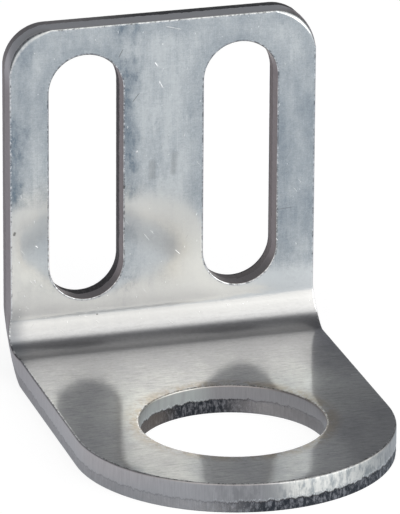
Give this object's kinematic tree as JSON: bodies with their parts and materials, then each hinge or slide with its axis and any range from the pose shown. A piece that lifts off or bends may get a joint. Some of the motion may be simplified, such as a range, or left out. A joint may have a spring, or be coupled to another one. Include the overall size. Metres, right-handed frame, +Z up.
{
  "type": "angle bracket",
  "caption": "Angle bracket folded from one thick steel sheet, with a round clearance hole in a round-nosed base leg and upright slots in the standing leg.",
  "frame": {"origin": "on the round hole's axis, level with the underside of the base leg", "axes": "+X across the bracket, +Y back to the upright leg, +Z up along the round hole's axis"},
  "size_m": [0.0328, 0.044, 0.0365],
  "materials": {
    "bracket": "satin plated steel with a fine brushed grain, punched edges left as cut"
  },
  "bodies": {
    "root": {"bracket": "bracket"}
  },
  "joints": []
}
